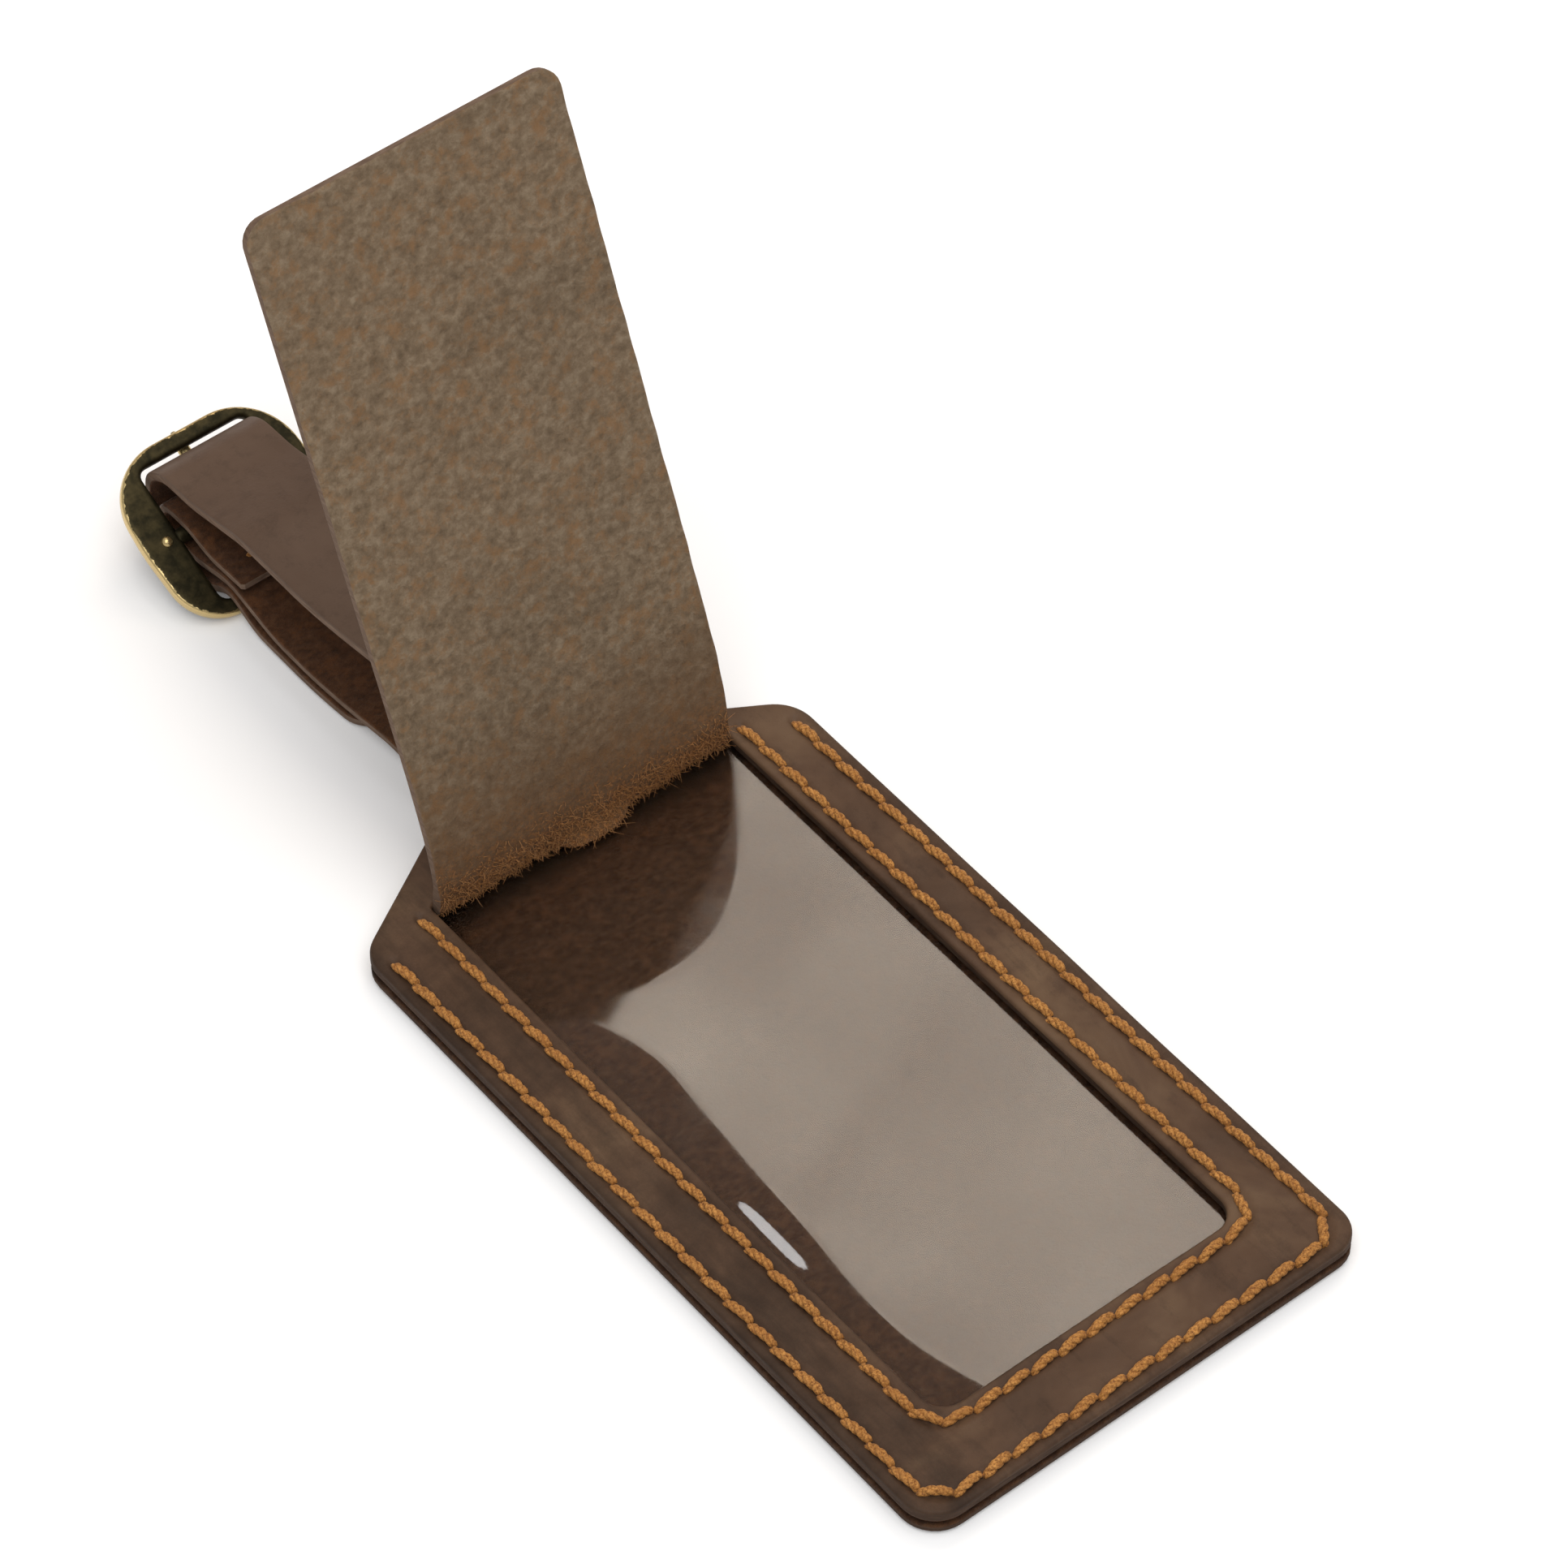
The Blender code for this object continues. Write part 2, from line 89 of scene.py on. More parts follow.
# ---- materials ---------------------------------------------------------------------------
class Nodes:
    """A material's node tree with short calls."""

    def __init__(self, name):
        self.mat = bpy.data.materials.new(name)
        self.mat.use_nodes = True
        self.tree = self.mat.node_tree
        self.shader = self.tree.nodes["Principled BSDF"]
        self.coords = self.tree.nodes.new("ShaderNodeTexCoord").outputs["Object"]

    def add(self, kind, **values):
        node = self.tree.nodes.new(kind)
        for key, value in values.items():
            if hasattr(node, key):
                setattr(node, key, value)
            else:
                socket = next(s for s in node.inputs if s.name.replace(" ", "_") == key)
                self.feed(socket, value)
        return node

    def feed(self, socket, value):
        if isinstance(value, bpy.types.NodeSocket):
            self.tree.links.new(value, socket)
        elif isinstance(value, tuple) and len(value) == 3 and socket.type == "RGBA":
            socket.default_value = (*value, 1.0)
        else:
            socket.default_value = value

    def noise(self, per_mm, detail=3.0, rough=0.55, distortion=0.0, stretch=(1, 1, 1), shift=0.0):
        where = self.add("ShaderNodeMapping", Vector=self.coords)
        where.inputs["Scale"].default_value = [s / MM * per_mm for s in stretch]
        where.inputs["Location"].default_value = (shift, shift * 1.7, shift * 0.6)
        tex = self.add("ShaderNodeTexNoise", Vector=where.outputs[0], Scale=1.0, Detail=detail,
                       Roughness=rough, Distortion=distortion)
        return tex.outputs["Fac"]

    def ramp(self, fac, *stops):
        node = self.add("ShaderNodeValToRGB", Fac=fac)
        ramp = node.color_ramp
        while len(ramp.elements) < len(stops):
            ramp.elements.new(0.5)
        for element, (place, colour) in zip(ramp.elements, stops):
            element.position = place
            element.color = (*colour, 1.0) if len(colour) == 3 else colour
        return node.outputs["Color"]

    def spread(self, fac, low, high, to_low=0.0, to_high=1.0):
        node = self.add("ShaderNodeMapRange", Value=fac)
        for key, value in (("From Min", low), ("From Max", high), ("To Min", to_low), ("To Max", to_high)):
            node.inputs[key].default_value = value
        return node.outputs["Result"]

    def mix(self, fac, a, b, blend="MIX"):
        node = self.tree.nodes.new("ShaderNodeMix")
        node.data_type, node.blend_type = "RGBA", blend
        for index, value in ((0, fac), (6, a), (7, b)):
            self.feed(node.inputs[index], value)
        return node.outputs[2]

    def attribute(self, name):
        return self.add("ShaderNodeAttribute", attribute_name=name).outputs["Fac"]

    def math(self, operation, a, b):
        node = self.add("ShaderNodeMath", operation=operation)
        self.feed(node.inputs[0], a)
        self.feed(node.inputs[1], b)
        return node.outputs[0]

    def bump(self, height, depth_mm, strength=1.0, over=None):
        node = self.add("ShaderNodeBump", Height=height, Strength=strength, Distance=depth_mm * MM)
        if over is not None:
            self.feed(node.inputs["Normal"], over)
        return node.outputs["Normal"]

    def finish(self, **sockets):
        for key, value in sockets.items():
            self.feed(self.shader.inputs[key.replace("_", " ")], value)
        return self.mat


def leather(name, dark, mid, light, rough=0.5, patch=0.06, rim=None):
    """Waxed pull-up leather: soft cloudy patches, fine grain, a low waxy shine.

    rim is the distance from the middle, and the place along Y, beyond which the body's leather is darker
    (mm); with a rim the leather also gets long streaks and a painted shade that darkens its left side.
    """
    n = Nodes(name)
    cloud = n.noise(patch, 4.0, 0.6, 0.4)
    base = n.ramp(cloud, (0.33, dark), (0.52, mid), (0.74, light))
    mottle = n.spread(n.noise(0.45, 3.0, 0.6, 0.2, shift=3.0), 0.3, 0.7, 0.86, 1.14)
    fine = n.spread(n.noise(3.2, 2.0, 0.7, shift=5.0), 0.3, 0.7, 0.93, 1.07)
    tone = n.math("MULTIPLY", mottle, fine)
    if rim is not None:
        axes = n.add("ShaderNodeSeparateXYZ", Vector=n.coords).outputs
        side = n.math("SUBTRACT", n.math("ABSOLUTE", axes["X"], 0.0), rim[0] * MM)
        end = n.math("SUBTRACT", rim[1] * MM, axes["Y"])
        out = n.spread(n.math("MAXIMUM", side, end), -0.0012, 0.0012, 1.04, 0.74)
        streak = n.spread(n.noise(0.5, 3.0, 0.6, 0.3, (1, 0.16, 1), 8.0), 0.35, 0.65, 0.84, 1.2)
        # painted shade: the body's left side is darkened where less light falls on it
        left_shade = n.spread(axes["X"], -0.027, -0.018, 0.7, 1.0)
        tone = n.math("MULTIPLY", n.math("MULTIPLY", tone, out), n.math("MULTIPLY", streak, left_shade))
    base = n.mix(1.0, base, n.ramp(tone, (0.0, (0, 0, 0)), (1.0, (1, 1, 1))), "MULTIPLY")
    shine = n.spread(n.noise(0.3, 3.0, 0.5, shift=9.0), 0.3, 0.7, rough - 0.07, rough + 0.1)
    pores = n.bump(n.noise(2.4, 3.0, 0.65, 0.3), 0.05, 0.6)
    creases = n.bump(n.noise(0.35, 4.0, 0.6, 0.8, shift=2.0), 0.12, 0.5, pores)
    return n.finish(Base_Color=base, Roughness=shine, Normal=creases, Specular_IOR_Level=0.16)


def suede(name, dark, mid, light, rust, fold=None, shade_band=None):
    """Rough flesh side: clotted short fibres in two tones.

    fold gives the distances from a fold between which the leather turns rusty; the last argument gives the
    places along Y between which a painted shadow of the flap's fold darkens it (mm).
    """
    n = Nodes(name)
    clots = n.noise(0.95, 6.0, 0.66, 0.15, (0.75, 1.0, 0.8))
    base = n.ramp(clots, (0.3, dark), (0.5, mid), (0.7, light))
    flecks = n.spread(n.noise(0.42, 5.0, 0.72, 0.1, shift=4.0), 0.5, 0.64, 0.0, 0.7)
    base = n.mix(flecks, base, rust)
    broad = n.spread(n.noise(0.045, 3.0, 0.55, shift=7.0), 0.35, 0.65, 0.9, 1.12)
    base = n.mix(1.0, base, n.ramp(broad, (0.0, (0, 0, 0)), (1.0, (1, 1, 1))), "MULTIPLY")
    if fold is not None:
        run = n.attribute("run")
        base = n.mix(n.spread(run, fold[0], fold[1], 0.0, 0.85), base, (0.125, 0.056, 0.02))
        speck = n.spread(n.noise(1.9, 4.0, 0.7, shift=1.0), 0.47, 0.6, 0.0, 0.85)
        near = n.spread(run, fold[1] + 11, fold[1] + 1)
        base = n.mix(n.math("MULTIPLY", near, speck), base, (0.3, 0.125, 0.038))
    # painted shadow: a dark band along Y where the flap's fold shades the back panel
    if shade_band is not None:
        y = n.add("ShaderNodeSeparateXYZ", Vector=n.coords).outputs["Y"]
        base = n.mix(n.spread(y, shade_band[0] * MM, shade_band[1] * MM, 0.0, 0.85), base, (0.012, 0.007, 0.004))
    fuzz = n.bump(n.noise(3.0, 4.0, 0.78), 0.22, 1.0)
    lumps = n.bump(clots, 0.5, 0.8, fuzz)
    return n.finish(Base_Color=base, Roughness=0.93, Normal=lumps, Specular_IOR_Level=0.08,
                    Sheen_Weight=0.05, Sheen_Roughness=0.5)


def cut_edge(name, dark, light):
    """Cut edge with faint fibre layers."""
    n = Nodes(name)
    layers = n.noise(0.9, 4.0, 0.7, 0.3, (0.35, 0.35, 2.5))
    base = n.ramp(layers, (0.3, dark), (0.7, light))
    return n.finish(Base_Color=base, Roughness=0.72, Normal=n.bump(layers, 0.12, 0.7),
                    Specular_IOR_Level=0.08)


def thread(name, dark, light):
    """Waxed thread: fine fibres, and stretches that have taken up more brown wax."""
    n = Nodes(name)
    fibre = n.noise(3.5, 3.0, 0.7, 0.4)
    tone = n.noise(0.22, 2.0, 0.5, shift=3.0)
    base = n.mix(n.spread(tone, 0.35, 0.65, 0.0, 0.35), n.ramp(fibre, (0.36, dark), (0.62, light)),
                 (0.27, 0.1, 0.02))
    return n.finish(Base_Color=base, Roughness=0.62, Normal=n.bump(fibre, 0.06, 0.8),
                    Specular_IOR_Level=0.2, Sheen_Weight=0.06)


def brass(name):
    """Darkened brass, rubbed bright where the mesh's wear value is high."""
    n = Nodes(name)
    spots = n.noise(1.1, 4.0, 0.65)
    wear = n.math("ADD", n.attribute("wear"), n.spread(spots, 0.3, 0.7, -0.22, 0.22))
    rubbed = n.spread(wear, 0.42, 0.62)
    dark = n.ramp(n.noise(0.6, 3.0, 0.6, shift=2.0), (0.35, (0.02, 0.017, 0.008)),
                  (0.65, (0.055, 0.043, 0.019)))
    base = n.mix(rubbed, dark, (0.62, 0.47, 0.22))
    return n.finish(Base_Color=base, Metallic=0.9, Roughness=n.spread(rubbed, 0.0, 1.0, 0.5, 0.27),
                    Normal=n.bump(spots, 0.05, 0.5))


def clear_sheet(name):
    """Soft clear vinyl with faint haze."""
    n = Nodes(name)
    haze = n.spread(n.noise(0.08, 3.0, 0.6), 0.35, 0.7, 0.03, 0.075)
    return n.finish(Base_Color=(0.97, 0.93, 0.88), Roughness=haze, Transmission_Weight=1.0,
                    IOR=1.42)


# the rim also gives this leather a painted shade on its left side
M_FRONT = leather("leather_front", (0.056, 0.030, 0.017), (0.085, 0.046, 0.026), (0.132, 0.078, 0.043),
                  rim=(31.9, -52.5))
M_STRAP = leather("leather_strap", (0.092, 0.056, 0.037), (0.108, 0.067, 0.045), (0.124, 0.079, 0.054),
                  0.46, 0.05)
M_EDGE = cut_edge("leather_edge", (0.1, 0.062, 0.042), (0.2, 0.135, 0.095))
M_EDGE_DARK = cut_edge("leather_edge_dark", (0.036, 0.021, 0.014), (0.075, 0.044, 0.028))
M_FLESH_FLAP = suede("suede_flap", (0.125, 0.085, 0.05), (0.204, 0.143, 0.088), (0.29, 0.22, 0.146),
                     (0.25, 0.135, 0.06), (24.0, 0.0))
M_FLESH = suede("suede_inside", (0.05, 0.022, 0.01), (0.085, 0.036, 0.016), (0.125, 0.058, 0.027),
                (0.14, 0.055, 0.02))
# the back suede carries a painted shadow under the flap's fold
M_BACK = suede("suede_back", (0.034, 0.014, 0.007), (0.06, 0.027, 0.013), (0.095, 0.048, 0.025),
               (0.1, 0.045, 0.02), shade_band=(49.5, 53.0))
M_THREAD = thread("thread_golden", (0.17, 0.06, 0.012), (0.56, 0.26, 0.065))
M_FIBRE = thread("fold_fibre", (0.15, 0.065, 0.022), (0.42, 0.2, 0.07))
M_BRASS = brass("brass_antique")
M_VINYL = clear_sheet("clear_vinyl")


# ---- flat outlines -------------------------------------------------------------------------
def fillet(points, closed=True, step=6.0):
    """Corner points (x, y, radius) -> array of points with each corner turned into an arc."""
    out = []
    for i, (px, py, radius) in enumerate(points):
        here = Vector((px, py))
        if not closed and i in (0, len(points) - 1):
            out.append(here)
            continue
        before = (Vector(points[i - 1][:2]) - here).normalized()
        after = (Vector(points[(i + 1) % len(points)][:2]) - here).normalized()
        inside = before.angle(after)
        if radius <= 0 or math.pi - inside < 0.01:
            out.append(here)
            continue
        middle = here + (before + after).normalized() * (radius / math.sin(inside / 2))
        back = radius / math.tan(inside / 2)
        start, stop = here + before * back - middle, here + after * back - middle
        turn = math.copysign(math.pi - inside, start.cross(stop))
        for k in range(max(2, math.ceil(abs(math.degrees(turn)) / step)) + 1):
            a = turn * k / max(2, math.ceil(abs(math.degrees(turn)) / step))
            c, s = math.cos(a), math.sin(a)
            out.append(middle + Vector((start.x * c - start.y * s, start.x * s + start.y * c)))
    return np.array([tuple(p) for p in out])


def spaced(points, step, closed=True):
    """Points about `step` apart along a polyline."""
    loop = np.vstack([points, points[:1]]) if closed else points
    run = np.concatenate([[0], np.cumsum(np.linalg.norm(np.diff(loop, axis=0), axis=1))])
    count = max(3, round(run[-1] / step))
    marks = np.linspace(0, run[-1], count + 1)
    out = np.stack([np.interp(marks, run, loop[:, k]) for k in range(loop.shape[1])], 1)
    return (out[:-1] if closed else out), run[-1]


def shifted(loop, distance):
    """A closed loop moved to its left."""
    along = np.roll(loop, -1, 0) - np.roll(loop, 1, 0)
    along /= np.linalg.norm(along, axis=1)[:, None]
    return loop + distance * np.stack([-along[:, 1], along[:, 0]], 1)


def reach(points, line, closed=True):
    """Distance of every point to a polyline."""
    a = line if closed else line[:-1]
    b = np.roll(line, -1, 0) if closed else line[1:]
    best = np.full(len(points), 1e9)
    for p, q in zip(a, b):
        d = q - p
        t = np.clip(((points - p) @ d) / max(d @ d, 1e-12), 0, 1)
        best = np.minimum(best, np.linalg.norm(points - p - t[:, None] * d, axis=1))
    return best


def inside(points, loop):
    """Which points lie inside a closed loop."""
    x, y = points[:, 0], points[:, 1]
    hit = np.zeros(len(points), bool)
    for (x0, y0), (x1, y1) in zip(loop, np.roll(loop, -1, 0)):
        if y0 != y1:
            hit ^= ((y0 > y) != (y1 > y)) & (x < (x1 - x0) * (y - y0) / (y1 - y0) + x0)
    return hit


class Flat:
    """A flat cut piece: points, triangles and each point's distance from the cut."""

    def __init__(self, outline, holes=(), step=0.6, rims=(0.09, 0.2, 0.34, 0.52)):
        loops = [spaced(loop, step)[0] for loop in (outline, *holes)]
        low, high = loops[0].min(0), loops[0].max(0)
        xs = np.arange(low[0], high[0], step)
        ys = np.arange(low[1], high[1], step * 0.87)
        gx, gy = np.meshgrid(xs, ys)
        gx = gx + (np.arange(len(ys)) % 2)[:, None] * step / 2
        grid = np.stack([gx.ravel(), gy.ravel()], 1)
        inner = [(grid, rims[-1] + step * 0.55)]
        for k, loop in enumerate(loops):
            inner += [(shifted(loop, d if k == 0 else -d), d * 0.97) for d in rims]
        kept = []
        for points, clear in inner:
            ok = inside(points, loops[0])
            for hole in loops[1:]:
                ok &= ~inside(points, hole)
            points = points[ok]
            far = np.min([reach(points, loop) for loop in loops], axis=0)
            kept.append(points[far >= clear])
        edges, start = [], 0
        for loop in loops:
            n = len(loop)
            edges += [(start + i, start + (i + 1) % n) for i in range(n)]
            start += n
        cloud = np.vstack(loops + kept)
        verts, _, faces, *_ = geometry.delaunay_2d_cdt(
            [Vector(p) for p in cloud], edges, [], 0, 1e-5)
        self.at = np.array([tuple(v) for v in verts])
        tris = np.array(faces)
        mid = self.at[tris].mean(1)
        ok = inside(mid, loops[0])
        for hole in loops[1:]:
            ok &= ~inside(mid, hole)
        self.tris = tris[ok]
        used = np.unique(self.tris)
        lookup = np.full(len(self.at), -1)
        lookup[used] = np.arange(len(used))
        self.at, self.tris = self.at[used], lookup[self.tris]
        self.edge = np.min([reach(self.at, loop) for loop in loops], axis=0)


def rounding(distance, radius):
    """How far a surface has dropped at a distance from its rounded edge."""
    d = np.clip(distance, 0, radius)
    return radius - np.sqrt(radius ** 2 - (radius - d) ** 2)


def build(name, verts, faces, mats, slots=None, sharp=40):
    """Smooth-shaded mesh object from points in mm; edges sharper than `sharp` degrees stay sharp."""
    mesh = bpy.data.meshes.new(name)
    mesh.from_pydata([tuple(v) for v in np.asarray(verts) * MM], [], [tuple(map(int, f)) for f in faces])
    for m in mats:
        mesh.materials.append(m)
    if slots is not None:
        mesh.polygons.foreach_set("material_index", np.asarray(slots, np.int32))
    mesh.validate()
    mesh.shade_smooth()
    if sharp:
        mesh.set_sharp_from_angle(angle=math.radians(sharp))
    obj = bpy.data.objects.new(name, mesh)
    bpy.context.scene.collection.objects.link(obj)
    return obj


def set_values(obj, name, values):
    """Stores one number per vertex, which a material can read."""
    attribute = obj.data.attributes.new(name, "FLOAT", "POINT")
    attribute.data.foreach_set("value", np.asarray(values, np.float32))


def slab(name, flat, place, mats, wall_rows=4):
    """Closes a flat piece into a solid: place(points, edge distance, t) with t 1 on top, 0 below."""
    n = len(flat.at)
    pairs = {}
    for a, b, c in flat.tris:
        for e in ((a, b), (b, c), (c, a)):
            pairs[e] = True
    rim = [e for e in pairs if (e[1], e[0]) not in pairs]
    ring = sorted({v for e in rim for v in e})
    slot = {v: i for i, v in enumerate(ring)}
    verts = [place(flat.at, flat.edge, 1.0), place(flat.at, flat.edge, 0.0)]
    ring_at, ring_edge = flat.at[ring], flat.edge[ring]
    for k in range(1, wall_rows):
        verts.append(place(ring_at, ring_edge, 1 - k / wall_rows))
    m = len(ring)

    def row(v, k):
        if k == 0:
            return v
        return n + v if k == wall_rows else 2 * n + (k - 1) * m + slot[v]

    faces = [tuple(t) for t in flat.tris] + [tuple(t[::-1] + n) for t in flat.tris]
    slots = [0] * len(flat.tris) + [1] * len(flat.tris)
    for a, b in rim:
        for k in range(wall_rows):
            faces.append((row(b, k), row(a, k), row(a, k + 1), row(b, k + 1)))
            slots.append(2)
    return build(name, np.vstack(verts), faces, mats, slots)


def smooth_step(u):
    """Eases in and out between 0 and 1."""
    return u * u * (3 - 2 * u)


def waves(x, y, *terms):
    """Sum of gentle sine waves (height, length along x, length along y, phase)."""
    total = 0
    for height, lx, ly, phase in terms:
        total = total + height * np.sin(2 * math.pi * (x / lx + y / ly) + phase)
    return total


# ---- tag body ---------------------------------------------------------------------------
def body_outline(y_top):
    """Body with chamfered shoulders and a tongue, cut straight across at y_top."""
    run = (Y_NECK - 3.4 - Y_SIDE) / (HALF_W - NECK_HALF)
    half_top = max(NECK_HALF, HALF_W - (y_top - Y_SIDE) / run)
    w = HALF_W
    corners = [(-w, Y_END, 5.0), (w, Y_END, 4.2), (w, Y_SIDE, 6.0)]
    if half_top == NECK_HALF:
        knee = Y_NECK - 3.4
        corners += [(NECK_HALF, knee, 2.0), (NECK_HALF - 0.8, y_top, 2.2),
                    (-NECK_HALF + 0.8, y_top, 2.2), (-NECK_HALF, knee, 2.0)]
    else:
        corners += [(half_top, y_top, 2.0), (-half_top, y_top, 2.0)]
    return fillet(corners + [(-w, Y_SIDE + 0.9, 5.0)])


def row_line(x, half, y0, y1, radius):
    """U-shaped stitch row: its line and its needle holes."""
    left, right = x - half, x + half
    line = fillet([(left, y1, 0), (left, y0, radius), (right, y0, radius), (right, y1, 0)], False)
    length = spaced(line, 1.0, False)[1]
    count = round(length / PITCH)
    return line, spaced(line, length / count, False)[0]


CHANNEL_D, CHANNEL_HALF, NEEDLE_D, NEEDLE_R = 0.34, 0.75, 0.34, 0.5


def dents(points, row):
    """Depth of the channel and the needle holes of a stitch row."""
    line, needles = row_line(*row)
    d = reach(points, line, False)
    depth = CHANNEL_D * np.exp(-(d / CHANNEL_HALF) ** 4)
    for p in needles:
        r = np.linalg.norm(points - p, axis=1)
        depth += NEEDLE_D * np.exp(-(r / NEEDLE_R) ** 2)
    return depth


def window_loop():
    left, right = WIN_X - WIN_HALF, WIN_X + WIN_HALF
    return fillet([(left, WIN_Y0, WIN_R), (right, WIN_Y0, WIN_R), (right, HINGE_Y, 0.5),
                   (left, HINGE_Y, 0.5)])


def make_front():
    half, y0, y1 = SLOT
    slot = fillet([(-half, y0, 1.6), (half, y0, 1.6), (half, y1, 1.6), (-half, y1, 1.6)])
    flat = Flat(body_outline(Y_NECK), (window_loop(), slot), 0.55)
    sunk = dents(flat.at, OUTER_ROW) + dents(flat.at, INNER_ROW)
    lookup = {tuple(p): s for p, s in zip(flat.at.round(5).tolist(), sunk)}

    def place(p, edge, t):
        x, y = p[:, 0], p[:, 1]
        if t == 1.0:
            z = TOP_Z - rounding(edge, 0.5) + waves(x, y, (0.05, 31, 47, 0.3), (0.04, -17, 29, 1.1))
            z = z - np.array([lookup[tuple(q)] for q in p.round(5).tolist()])
        elif t == 0.0:
            z = FRONT_Z + rounding(edge, 0.25)
        else:
            z = FRONT_Z + 0.25 + (LEATHER_T - 0.75) * t + waves(x, y, (0.02, 2.3, 3.1, t * 4))
        return np.stack([x, y, z], 1)

    obj = slab("front_leather", flat, place, (M_FRONT, M_FLESH, M_EDGE_DARK))
    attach(obj, "tag_body")
    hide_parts("front_panel")


def make_back():
    flat = Flat(body_outline(Y_BACK), (), 1.0)
    line, needles = row_line(*OUTER_ROW)

    def place(p, edge, t):
        x, y = p[:, 0], p[:, 1]
        if t == 1.0:
            z = BACK_TOP - rounding(edge, 0.3)
        elif t == 0.0:
            z = rounding(edge, 0.4) + 0.3 * np.exp(-(reach(p, line, False) / 0.8) ** 4)
            for q in needles:
                z = z + 0.3 * np.exp(-(np.linalg.norm(p - q, axis=1) / 0.5) ** 2)
        else:
            z = np.full(len(p), 0.4 + (BACK_TOP - 0.7) * t)
        return np.stack([x, y, z], 1)

    obj = slab("back_leather", flat, place, (M_BACK, M_FRONT, M_EDGE_DARK))
    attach(obj, "tag_body")
    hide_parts("back_panel")


# ---- stitches -----------------------------------------------------------------------------
def sleeve(rings, sides, closed=False):
    """Faces between rings of `sides` points each; closed joins the last ring to the first."""
    faces = []
    for i in range(rings if closed else rings - 1):
        here, there = i * sides, (i + 1) % rings * sides
        for k in range(sides):
            turn = (k + 1) % sides
            faces.append((here + k, here + turn, there + turn, there + k))
    return faces


def caps(rings, sides):
    """End faces of an open sleeve."""
    return [tuple(range(sides))[::-1], tuple(range((rings - 1) * sides, rings * sides))]


def tube(path, radii, sides, turn=0.0):
    """Vertices and faces of a tube closed by a flat cap at each end."""
    along = np.gradient(path, axis=0)
    along /= np.linalg.norm(along, axis=1)[:, None]
    up = np.array([0.0, 0.0, 1.0]) if abs(along[0][2]) < 0.9 else np.array([1.0, 0.0, 0.0])
    verts = []
    for p, a, r in zip(path, along, radii):
        u = np.cross(up, a)
        u /= np.linalg.norm(u)
        v = np.cross(a, u)
        angles = turn + 2 * math.pi * np.arange(sides) / sides
        verts.append(p + r * (np.cos(angles)[:, None] * u + np.sin(angles)[:, None] * v))
    return np.vstack(verts), sleeve(len(path), sides) + caps(len(path), sides)


def join(parts):
    """Puts several (vertices, faces) together."""
    verts, faces, start = [], [], 0
    for v, f in parts:
        verts.append(v)
        faces += [tuple(i + start for i in face) for face in f]
        start += len(v)
    return np.vstack(verts), faces


PLIES, PLY_R, PLY_OFF, TWIST_MM = 3, 0.37, 0.29, 3.6
DIVE, SLANT, THREAD_Z = 0.62, 0.3, TOP_Z + 0.02     # an end's depth, its sideways shift, its height


def one_stitch(a, b, z, lift, slant, side, flat=1.0, shrink=1.0):
    """Twisted thread from needle hole a to b, bulging on the side given by +1 or -1."""
    a, b = np.array(a), np.array(b)
    run = b - a
    length = np.linalg.norm(run)
    run /= length
    left = np.array([-run[1], run[0]])
    t = np.linspace(0, 1, 13)
    swell = np.sin(math.pi * t) ** 0.55
    lean = slant * (t - 0.5) * 2
    mid = a + np.outer(t * length, run) + np.outer(lean, left)
    height = z + side * (lift * swell - DIVE * (1 - swell))
    parts = []
    phase = rng.uniform(0, 2 * math.pi)
    plump = (0.76 + 0.24 * swell) * rng.uniform(0.94, 1.06) * shrink
    for k in range(PLIES):
        angle = phase + 2 * math.pi * (k / PLIES + t * length / TWIST_MM)
        off = PLY_OFF * plump
        path = np.stack([mid[:, 0] + left[0] * off * np.cos(angle),
                         mid[:, 1] + left[1] * off * np.cos(angle),
                         height + off * np.sin(angle) * flat], 1)
        parts.append(tube(path, PLY_R * plump, 8))
    return parts


def make_stitches(name, node, row, z, lift, slant, side, flat=1.0, shrink=1.0):
    _, needles = row_line(*row)
    parts = []
    for a, b in zip(needles, needles[1:]):
        gap = (b - a) * 0.012
        parts += one_stitch(a + gap, b - gap, z, lift, slant * rng.uniform(0.8, 1.2), side, flat, shrink)
    verts, faces = join(parts)
    obj = build(name, verts, faces, (M_THREAD,), sharp=None)
    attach(obj, "tag_body")
    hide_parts(node)


# ---- clear window ----------------------------------------------------------------------------
def eased(u, w):
    """0 below 0, then a parabola that runs on as a straight slope of 1 after w."""
    u = np.maximum(u, 0)
    return np.where(u < w, u * u / (2 * w), u - w / 2)


# the two lines where the sheet starts to fall: (y, x) on the left, (x, y) towards the hinge
LEFT_X = ((-44, -13.0), (-38, -15.0), (-31, -16.6), (-22, -16.8), (-12, -15.6), (-2, -15.0),
          (6, -14.2), (12, -14.0), (17, -13.2), (23, -13.8), (29, -16.0), (34, -17.5), (44, -19))
HINGE_LINE = ((-24, 35.4), (-17, 33.4), (-12, 30.6), (-8, 28.6), (-2, 28.6), (4, 30.1), (10, 34.2),
              (14, 38.8), (18, 44.8), (21, 49.6), (24, 54))
VINYL_Z, VINYL_T = 1.98, 0.16       # middle of the sheet's thickness over most of the window
LEFT_SLOPE, HINGE_SLOPE = 0.055, 0.030      # fall of the sheet beyond the two lines
GLINT_Y, GLINT_HALF, GLINT_X, GLINT_W, GLINT_DROP = -9.5, 8.5, -18.9, 2.8, 0.19


